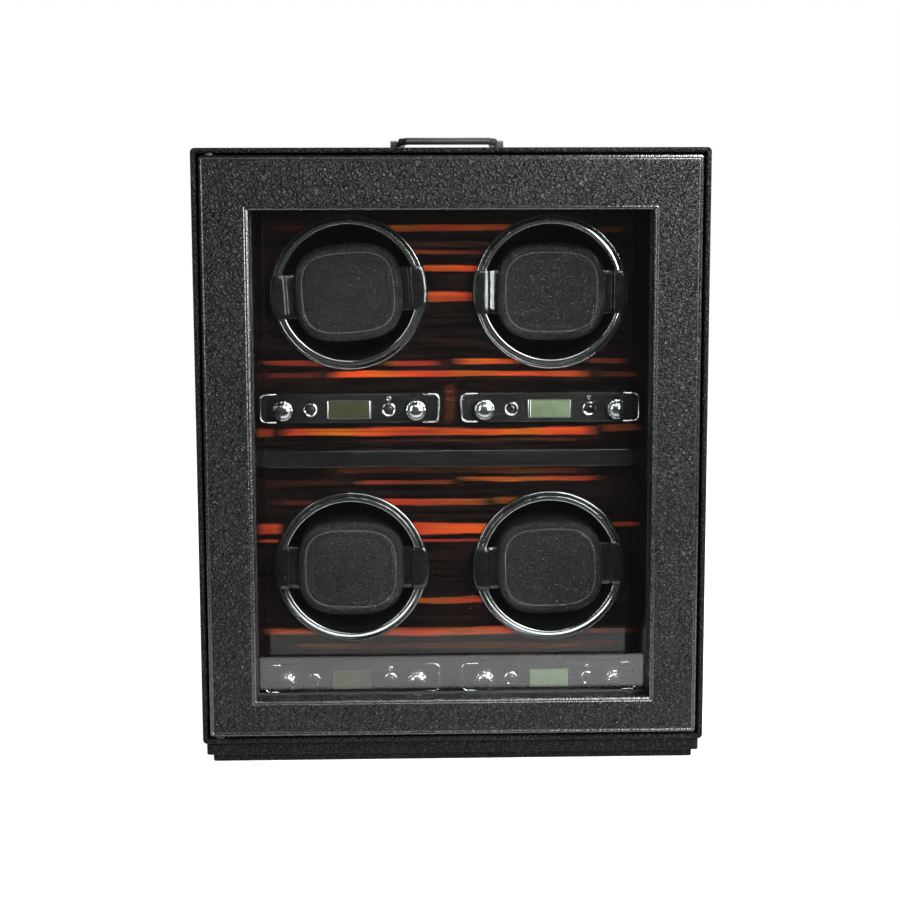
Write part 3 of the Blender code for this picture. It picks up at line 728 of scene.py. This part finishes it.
def build_handle():
    """Base plate with its lugs, and the bail that lies flat in front of them at rest."""
    dress("handle_plate", "gunmetal", 0.35)
    low, high = extent("handle_bail")
    radius, arm, curl, shoulder = 2.3, 29.35, 3.0, 2.5
    pivot = Vector((0, 0, 376.6))
    grip = Vector((0, low.y + radius, high.z - radius))
    length = (grip - pivot).length
    out = (grip - pivot).normalized()
    path = [(high.x, 0)] + arc(arm + shoulder, 0, arm, shoulder, 4)
    path += [(arm - inward, run) for run, inward in arc(length - curl, 0, length, curl, 6)]
    half = [pivot + Vector((x, 0, 0)) + out * run for x, run in path]
    mirrored = [Vector((-p.x, p.y, p.z)) for p in half[::-1]]
    bm = bmesh.new()
    add_rod(bm, half + mirrored, radius, 24, domed=False)
    make_piece("bail", bm, "gunmetal", "handle", ["handle_bail"])


# ---- winders

def gear_outline():
    """Outline of the ring gear, with straight-sided teeth, the first one at the bottom."""
    pitch = GEAR_MODULE * GEAR_TEETH / 2
    root, tip, step = pitch - 1.25 * GEAR_MODULE, pitch + GEAR_MODULE, 2 * math.pi / GEAR_TEETH
    points = []
    for tooth in range(GEAR_TEETH):
        for share, radius in ((-0.3, root), (-0.14, tip), (0.14, tip), (0.3, root)):
            a = (tooth + share) * step - math.pi / 2
            points.append((radius * math.cos(a), radius * math.sin(a)))
    return points


def build_winder(tag):
    """Collar and tube of the housing, then the drum: chrome rim, dark cup and ring gear."""
    housing = "winder_housing_" + tag
    low, high = extent(housing)
    middle = centre_of(housing)
    front, rear = (middle.x, low.y, middle.z), high.y - low.y
    seat, mouth, throat, floor = 3, RIM_R + 0.6, 2.3, rear - 2.5
    outer, tube, tube_inner, axle_hole, bead = 48.0, 46.3, 44.6, 4.3, 0.35
    profile = [(mouth, throat), (mouth, 0.7), (mouth + 0.2, 0.25), (mouth + 0.7, 0),
               (outer - 1.1, 0), (outer - 0.55, 0.16), (outer - 0.16, 0.55), (outer, 1.1),
               (outer, seat), (tube, seat), (tube, rear - 0.6), (tube - 0.6, rear),
               (axle_hole, rear), (axle_hole, floor), (tube_inner, floor), (tube_inner, throat)]
    make_turned("housing_ring_" + tag, profile, front, 128, "gloss", "cabinet",
                [housing])
    profile = [(outer - 0.6 + bead * math.cos(a), 0.45 + bead * math.sin(a))
               for a in (math.radians(30 * step) for step in range(12))]
    make_turned("housing_edge_" + tag, profile, front, 160, "chrome", "cabinet")

    body, at = "drum_" + tag, (middle.x, 0, middle.z)
    drum_low, drum_high = extent(body)
    lip = drum_low.y
    wall_end = lip + RIM_DEPTH
    roll, tight = 0.5, 0.15
    profile = [(RIM_R - 0.9, lip + 2.5), (RIM_R, lip + 2.0)]
    profile += [(RIM_R - tight + r, lip + y) for r, y in arc(tight, tight, 0, 0, 3)]
    profile += [(RIM_INNER_R + r, lip + y) for r, y in arc(0, roll, roll, 0)[::-1]]
    profile += [(RIM_INNER_R, lip + 1.6), (CUP_R + 0.1, wall_end), (CUP_R + 1.2, wall_end),
                (CUP_R + 1.9, lip + 2.5)]
    make_turned("drum_rim_" + tag, profile, at, 160, "chrome", body)

    floor, floor_back, shell, hub, step = 11.5, 14.0, 43.8, 8, wall_end + 0.05
    profile = [(0, floor), (CUP_R - 1.5, floor), (CUP_R - 0.5, floor - 0.4), (CUP_R, floor - 1.4),
               (CUP_R, step), (shell, step), (shell, floor_back), (hub, floor_back),
               (hub, GEAR_FRONT), (0, GEAR_FRONT)]
    make_turned("drum_cup_" + tag, profile, at, 96, "cup", body, [body])
    axle, end = 4, drum_high.y
    loops = [[(middle.x + x * k, y, middle.z + z * k) for x, z in gear_outline()]
             for y, k in ((GEAR_FRONT, 0.992), (GEAR_FRONT + 0.3, 1), (GEAR_BACK - 0.3, 1),
                          (GEAR_BACK, 0.992))]
    bm = bmesh.new()
    add_loops(bm, loops)
    add_turned(bm, [(0, GEAR_BACK), (hub, GEAR_BACK), (hub, GEAR_BACK + 0.8),
                    (hub - 0.3, GEAR_BACK + 1), (axle, GEAR_BACK + 1), (axle, end - 0.3),
                    (axle - 0.3, end), (0, end)], at, 48)
    make_piece("ring_gear_" + tag, bm, "plastic", body)

    dress("motor_" + tag, "steel", 0.6)
    dress("pinion_" + tag, "brass", 0.12, 2)


def superellipse(a, b, n, count):
    """Points of a rounded rectangle with half sides a and b. A higher n makes it squarer."""
    points = []
    for i in range(count):
        t = 2 * math.pi * i / count
        c, s = math.cos(t), math.sin(t)
        r = (abs(c / a) ** n + abs(s / b) ** n) ** (-1 / n)
        points.append((r * c, r * s))
    return points


def pad_levels():
    """Loops of the pad from the middle of its face round to the middle of its back, each as
    (half width, half height, squareness, depth, held still while it is blown up)."""
    front, inner = PAD_FRONT, 1 - BAND_W / STITCH_A
    face = [(share, 0) for share in (0.12, 0.26, 0.4, 0.54, 0.66, inner - 0.1, inner - 0.05,
                                     inner - 0.02)]
    face += [(inner, 0.3), (inner + 0.02, 0.1), (inner + 0.06, 0), (inner + 0.1, 0)]
    levels = [(STITCH_A * share, STITCH_B * share, 2 + 1.3 * share, front + sink, share == inner)
              for share, sink in face]
    seam = ((-0.9, 0.15), (-0.45, 0.5), (0, 0.8), (0.45, 0.5), (0.9, 0.15))
    levels += [(STITCH_A + grow, STITCH_B + grow, STITCH_N, front + sink, grow == 0)
               for grow, sink in seam]
    roll = 3.4
    edge_a, edge_b = PAD_A - roll, PAD_B - roll
    for share in (0.4, 1.0):
        levels.append((STITCH_A + 0.9 + (edge_a - STITCH_A - 0.9) * share * 0.9,
                       STITCH_B + 0.9 + (edge_b - STITCH_B - 0.9) * share,
                       STITCH_N, front + 0.1, False))
    for step in range(1, 7):
        a = math.radians(90 * step / 6)
        levels.append((edge_a + roll * math.sin(a), edge_b + roll * math.sin(a),
                       STITCH_N - 0.3 * step / 6, front + 0.1 + roll * (1 - math.cos(a)), step > 4))
    for y in (-58, -54, -48, -40, -32, -26):
        levels.append((PAD_A, PAD_B, PAD_N, y, True))
    for step in range(1, 5):
        a = math.radians(90 * step / 4)
        levels.append((PAD_A - 3 * (1 - math.cos(a)), PAD_B - 3 * (1 - math.cos(a)), PAD_N,
                       PAD_BACK - 3 + 3 * math.sin(a), True))
    for share in (0.75, 0.5, 0.25):
        levels.append((PAD_A * share, PAD_B * share, PAD_N, PAD_BACK, True))
    return levels


def blow_up(points, faces, held):
    """Stuffs the free part of a closed skin by a cloth simulation, run at ten times its size.
    No point moves further than PAD_SWELL."""
    big = 10 * MM
    mesh = bpy.data.meshes.new("stuffing")
    mesh.from_pydata([tuple(c * big for c in p) for p in points], [], faces)
    skin = add_object("stuffing", mesh)
    pins = skin.vertex_groups.new(name="held")
    pins.add([i for i, is_held in enumerate(held) if is_held], 1.0, "REPLACE")
    cloth = skin.modifiers.new("Cloth", "CLOTH").settings
    cloth.quality = 6
    cloth.vertex_group_mass = "held"
    cloth.use_pressure = True
    cloth.uniform_pressure_force = 5.0
    cloth.effector_weights.gravity = 0
    cloth.tension_stiffness = 20
    cloth.bending_stiffness = 6
    scene = bpy.context.scene
    for step in range(1, 17):
        scene.frame_set(step)
    graph = bpy.context.evaluated_depsgraph_get()
    blown = [v.co / big for v in skin.evaluated_get(graph).data.vertices]
    scene.frame_set(1)
    bpy.data.objects.remove(skin, do_unlink=True)
    moved = []
    for before, after in zip(points, blown):
        step = after - Vector(before)
        if step.length > PAD_SWELL:
            step = step * (PAD_SWELL / step.length)
        moved.append(Vector(before) + step)
    return moved


def pad_mesh():
    """Points and faces of the leather pad, stuffed, about its own middle."""
    levels = pad_levels()
    points, held, faces = [(0.0, levels[0][3], 0.0)], [False], []
    for a, b, n, y, is_held in levels:
        for x, z in superellipse(a, b, n, PAD_POINTS):
            points.append((x, y, z))
            held.append(is_held)
    points.append((0.0, levels[-1][3], 0.0))
    held.append(True)
    last = len(points) - 1
    starts = range(1, last, PAD_POINTS)
    for i in range(PAD_POINTS):
        j = (i + 1) % PAD_POINTS
        faces.append((0, 1 + i, 1 + j))
        faces += [(a + i, b + i, b + j, a + j) for a, b in zip(starts, starts[1:])]
        faces.append((starts[-1] + i, last, starts[-1] + j))
    moved = blow_up(points, faces, held)
    for k, p in enumerate(moved):
        if not held[k]:
            moved[k] = p + Vector((0, noise.noise(Vector((p.x, p.z, 3.0)) / 9) * 0.22, 0))
    return moved, faces


def cuff_tilt(tag):
    """Turn of a cuff about the drum's axis, as its CAD solid has it: its bar shows the slope."""
    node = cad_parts["cuff_" + tag]
    middle = centre_of("cuff_" + tag)
    offsets = [v.co / MM - middle for v in node.data.vertices]
    rises = [offset.z for offset in offsets if offset.x > 40]
    rise = sum(rises) / len(rises)
    return math.atan2(rise, WING_R - 1)


def build_cuff(tag, pad):
    """Stuffed leather pad with its stitched outline, between two wings that clip on the rim."""
    body = "cuff_" + tag
    middle = centre_of(body)
    turn = Matrix.Translation((middle.x, 0, middle.z)) @ Matrix.Rotation(-cuff_tilt(tag), 4, "Y")
    points, faces = pad

    bm = bmesh.new()
    verts = [bm.verts.new(turn @ p) for p in points]
    for face in faces:
        bm.faces.new([verts[i] for i in face])
    piece = make_piece("cuff_pad_" + tag, bm, "cuff", body, [body], 60)
    smooth = piece.modifiers.new("smooth", "SUBSURF")
    smooth.levels = smooth.render_levels = 1

    groove = superellipse(STITCH_A, STITCH_B, STITCH_N, 720)
    sewn = max(i for i, level in enumerate(pad_levels()) if level[4] and level[3] < -62)
    row = points[1 + sewn * PAD_POINTS:][:PAD_POINTS]
    depth = sum(p.y for p in row) / PAD_POINTS
    proud, dip = 0.12, Vector((0, 0.14, 0))
    bm = bmesh.new()
    travelled, due = 0.0, 0.0
    for (x, z), (nx, nz) in zip(groove, groove[1:] + groove[:1]):
        if travelled >= due:
            along = Vector((nx - x, 0, nz - z)).normalized() * STITCH_LENGTH / 2
            mid = Vector((x, depth - proud, z))
            add_rod(bm, [turn @ p for p in (mid - along + dip, mid - along * 0.5, mid,
                                            mid + along * 0.5, mid + along + dip)], THREAD_R, 6)
            due += STITCH_PITCH
        travelled += math.hypot(nx - x, nz - z)
    # The stitches' grey is partly painted highlight of the groove they sit in.
    make_piece("cuff_stitches_" + tag, bm, "thread", body)

    ends = [(-1.0, 0.75), (-0.985, 0.4), (-0.95, 0.12)]
    spans = ends + [(s / 4, 0.0) for s in range(-3, 4)] + [(-s, e) for s, e in ends[::-1]]
    root, hook, back, thick = 31.5, 41.2, -60.5, 3
    bm = bmesh.new()
    for side in (-1, 1):
        loops = []
        for share, ease in spans:
            z = WING_HALF * share
            tip = math.sqrt(WING_R ** 2 - z ** 2) - ease * 0.8
            inner, top, web = 38.6 + ease * 0.3, -62.7 + ease * 0.5, -59.2 + ease * 0.5
            section = [(root, web), (inner - 0.9, web), (inner - 0.3, web - 0.25),
                       (inner, web - 0.9), (inner, top + 0.9), (inner + 0.3, top + 0.3),
                       (inner + 1.1, top - 0.02), (tip - 4, top - 0.06), (tip - 1.4, top + 0.1),
                       (tip - 0.5, top + 0.45), (tip, top + 1.1), (tip - 0.1, back - 0.2),
                       (tip - 0.5, back), (hook, back), (hook - 0.3, back + 0.3),
                       (hook - 0.6, web + thick), (root, web + thick)]
            loops.append([turn @ Vector((side * x, y, z)) for x, y in section])
        add_loops(bm, loops)
    make_piece("cuff_wings_" + tag, bm, "wing", body, sharp=50)


# ---- controls

def build_controls(tag):
    """Plate with its chrome trim, display, lamp, bezels, knobs and buttons."""
    plate, lcd = "control_plate_" + tag, "lcd_" + tag
    dress(plate, "plate", 0.3)
    low, high = extent(plate)
    lcd_low, lcd_high = extent(lcd)
    row, x0, face = (lcd_low.z + lcd_high.z) / 2, (low.x + high.x) / 2, low.y
    lamp_at = (x0 + BUTTON_X, face, centre_of("winder_housing_" + tag).z - LED_BELOW)
    inset, bar_run = TRIM_R * 0.6, Vector((6, 0, 0))
    loop = rounded_loop(low, high, inset, face + 0.1, 4 - inset, 8)
    bm = bmesh.new()
    add_rod(bm, loop, LIP_R, 12, closed=True)
    make_piece("plate_lip_" + tag, bm, "plate", "cabinet")
    bm = bmesh.new()
    corner = len(loop) // 4
    for side, end in ((1, loop[-corner:] + loop[:corner]), (-1, loop[corner:3 * corner])):
        end = [Vector(point) for point in end]
        add_rod(bm, [end[0] - side * bar_run] + end + [end[-1] - side * bar_run], TRIM_R, 12)
    make_piece("plate_trim_" + tag, bm, "chrome", "cabinet")

    # Paler copy for the right displays, darker copy for the left ones: painted light and painted
    # shade.
    dress(lcd, "display_painted_light" if "right" in tag else "display_painted_shade", 0.15)
    section = [(-0.8, 0.2), (-0.8, -0.25), (-0.12, -0.53), (0.12, -0.53), (0.8, -0.25),
               (0.8, 0.2)]
    bm = bmesh.new()
    for side in (-1, 1):
        bar = x0 + side * (lcd_high.x - x0 + 0.85)
        add_loops(bm, [[(bar + x, face + y, z) for x, y in section]
                       for z in (lcd_low.z - 0.3, lcd_high.z + 0.3)])
    make_piece("display_bars_" + tag, bm, "chrome", "cabinet")
    bm = bmesh.new()
    for z0, z1 in ((lcd_low.z - 0.75, lcd_low.z - 0.15), (lcd_high.z + 0.15, lcd_high.z + 0.75)):
        add_block(bm, lcd_low.x - 0.1, lcd_high.x + 0.1, face - 0.2, face + 0.3, z0, z1, 0.12)
    make_piece("display_frame_" + tag, bm, "plastic", "cabinet")

    bm = bmesh.new()
    for side in (-1, 1):
        add_turned(bm, [(3.25, 0.2), (3.25, -0.5), (3.4, -0.85), (3.75, -0.95), (4.15, -0.8),
                        (4.5, -0.45), (4.7, 0.02), (4.7, 0.2)],
                   (x0 + side * BUTTON_X, face, row), 48)
    add_turned(bm, [(1.05, 0.2), (1.05, -0.2), (1.2, -0.3), (1.4, -0.2), (1.5, 0.2)], lamp_at, 32)
    make_piece("bezels_" + tag, bm, "chrome", "cabinet")
    make_turned("lamp_" + tag, [(0, -0.5), (0.45, -0.45), (0.8, -0.3), (1.0, 0), (1.0, 0.2),
                                (0, 0.2)], lamp_at, 24, "led", "cabinet")
    for kind in ("turns", "direction"):
        build_knob(f"{kind}_knob_{tag}")
    for kind in ("power", "mode"):
        build_button(f"{kind}_button_{tag}")


def build_knob(node):
    """Chrome knob: domed face with a pointer, shoulder and knurled side."""
    low, high = extent(node)
    face = centre_of(node)
    face.y = low.y
    radius, dome, stem, rear, end = 6.2, 3.4, 2.2, 8, high.y - low.y

    def knurl(angle, r):
        if r > radius - 0.05:
            return 1 + 0.022 * math.cos(28 * angle)
        return 1 + 0.03 * math.cos(14 * angle) if r > dome else 1
    profile = [(0, 0), (0.9, 0.03), (1.8, 0.13), (2.7, 0.31), (3.5, 0.55), (4.2, 0.85),
               (4.8, 1.2), (5.2, 1.55), (5.3, 1.75), (5.55, 1.8), (5.95, 1.95), (radius, 2.3),
               (radius, 5.6), (5.85, 5.95), (5.75, 6.3), (6.05, 6.6), (6.1, rear - 0.4),
               (5.9, rear), (stem, rear), (stem, end), (0, end)]
    bm = bmesh.new()
    add_turned(bm, profile, face, 168, knurl)
    make_piece("chrome_" + node, bm, "knob", node, [node], 30)
    bm = bmesh.new()
    add_rod(bm, [face + Vector(p) for p in ((0, 0.16, 1.8), (0, 0.34, 2.7), (0, 0.6, 3.5))], 0.3)
    make_piece("pointer_" + node, bm, "gloss", node)


def build_button(node):
    """Domed gloss button on its stepped stem."""
    low, high = extent(node)
    face = centre_of(node)
    face.y = low.y
    cap, step, stem, end = 2.9, 3.9, 1.6, high.y - low.y
    profile = [(0, 0), (1.0, 0.05), (1.8, 0.2), (2.4, 0.5), (2.75, 0.9), (cap, 1.4), (cap, 4.6),
               (step, 4.6), (step, 5.8), (stem, 5.8), (stem, end), (0, end)]
    make_turned("cap_" + node, profile, face, 48, "gloss", node, [node])


# ---- camera, stage and light

def make_camera():
    """Camera at the place and with the turn that were fitted to the photograph."""
    cam = bpy.data.cameras.new("camera")
    cam.lens = CAMERA_LENS
    cam.clip_start = 0.05
    camera = add_object("camera", cam)
    turn = Matrix.Rotation(-CAMERA_YAW, 4, "Z")
    turn @= Matrix.Rotation(math.pi / 2 - CAMERA_PITCH, 4, "X")
    turn @= Matrix.Rotation(-CAMERA_ROLL, 4, "Z")
    camera.matrix_world = Matrix.Translation(CAMERA_AT * MM) @ turn
    bpy.context.scene.camera = camera


# Soft lamps: name, place, point that it faces, width, height and watts
LAMPS = (
    ("key", (385, -760, 470), (60, -110, 260), 270, 600, 11),
    ("corner_box", (340, -310, 600), (120, -114, 300), 220, 320, 5.5),
    ("upper_box", (200, -1300, 780), (0, -60, 300), 700, 320, 6),
    ("right_box", (980, -840, 560), (0, -60, 240), 420, 1040, 5.2),
    ("left_box", (-800, -1200, 480), (0, -60, 200), 340, 860, 5.8),
    ("top_box", (100, 100, 1300), (0, 0, 200), 1000, 700, 8),
    ("back_box", (300, 1500, 900), (0, 0, 150), 1400, 1000, 12),
)


def build_table():
    """Pale table that ends in front of the cabinet."""
    reach = 12000
    edge = CAD_BOX[0].y / MM - 228
    look = Look("pale_floor", IOR=1.45, Emission_Strength=1.0)
    patch = look.noise(400)
    look.set("Base Color", look.blend(patch, grey(0.34), grey(0.33)))
    look.set("Emission Color", look.blend(patch, grey(1), grey(0.99)))
    look.set("Roughness", look.between(look.noise(120), 0.3, 0.7, 0.6, 0.7))
    corners = ((-reach, edge), (reach, edge), (reach, reach), (-reach, reach))
    mesh = bpy.data.meshes.new("floor")
    mesh.from_pydata([(x * MM, y * MM, 0) for x, y in corners], [], [(0, 1, 2, 3)])
    mesh.materials.append(look.material)
    add_object("floor", mesh)


def build_lamps():
    for name, at, aim, width, height, watts in LAMPS:
        light = bpy.data.lights.new(name, "AREA")
        light.shape = "RECTANGLE"
        light.size, light.size_y = width * MM, height * MM
        light.energy = watts
        lamp = add_object(name, light)
        lamp.location = Vector(at) * MM
        lamp.rotation_euler = (Vector(aim) - Vector(at)).to_track_quat("-Z", "Y").to_euler()
        lamp.visible_camera = False


def build_room():
    """World that is white to look at, also through glass, and dim in reflections."""
    world = bpy.data.worlds.new("white_room")
    world.use_nodes = True
    room = Nodes(world.node_tree)
    path = room.node("LightPath").outputs
    straight = room.math("MAXIMUM", path["Is Camera Ray"], path["Is Transmission Ray"])
    bounces = room.math("ADD", path["Diffuse Depth"], path["Glossy Depth"])
    seen = room.math("SUBTRACT", straight, bounces, clamp=True)
    background = room.tree.nodes["Background"].inputs
    room.tree.links.new(room.blend(seen, grey(0.045), grey(1)), background["Color"])
    background["Strength"].default_value = 1.0
    bpy.context.scene.world = world
    bpy.context.scene.view_settings.view_transform = "Standard"


def main():
    make_camera()
    make_looks()
    build_case()
    build_plinth()
    build_door()
    build_insert()
    build_back()
    build_handle()
    pad = pad_mesh()
    for tag in TAGS:
        build_winder(tag)
        build_cuff(tag, pad)
        build_controls(tag)
    build_table()
    build_lamps()
    build_room()


main()
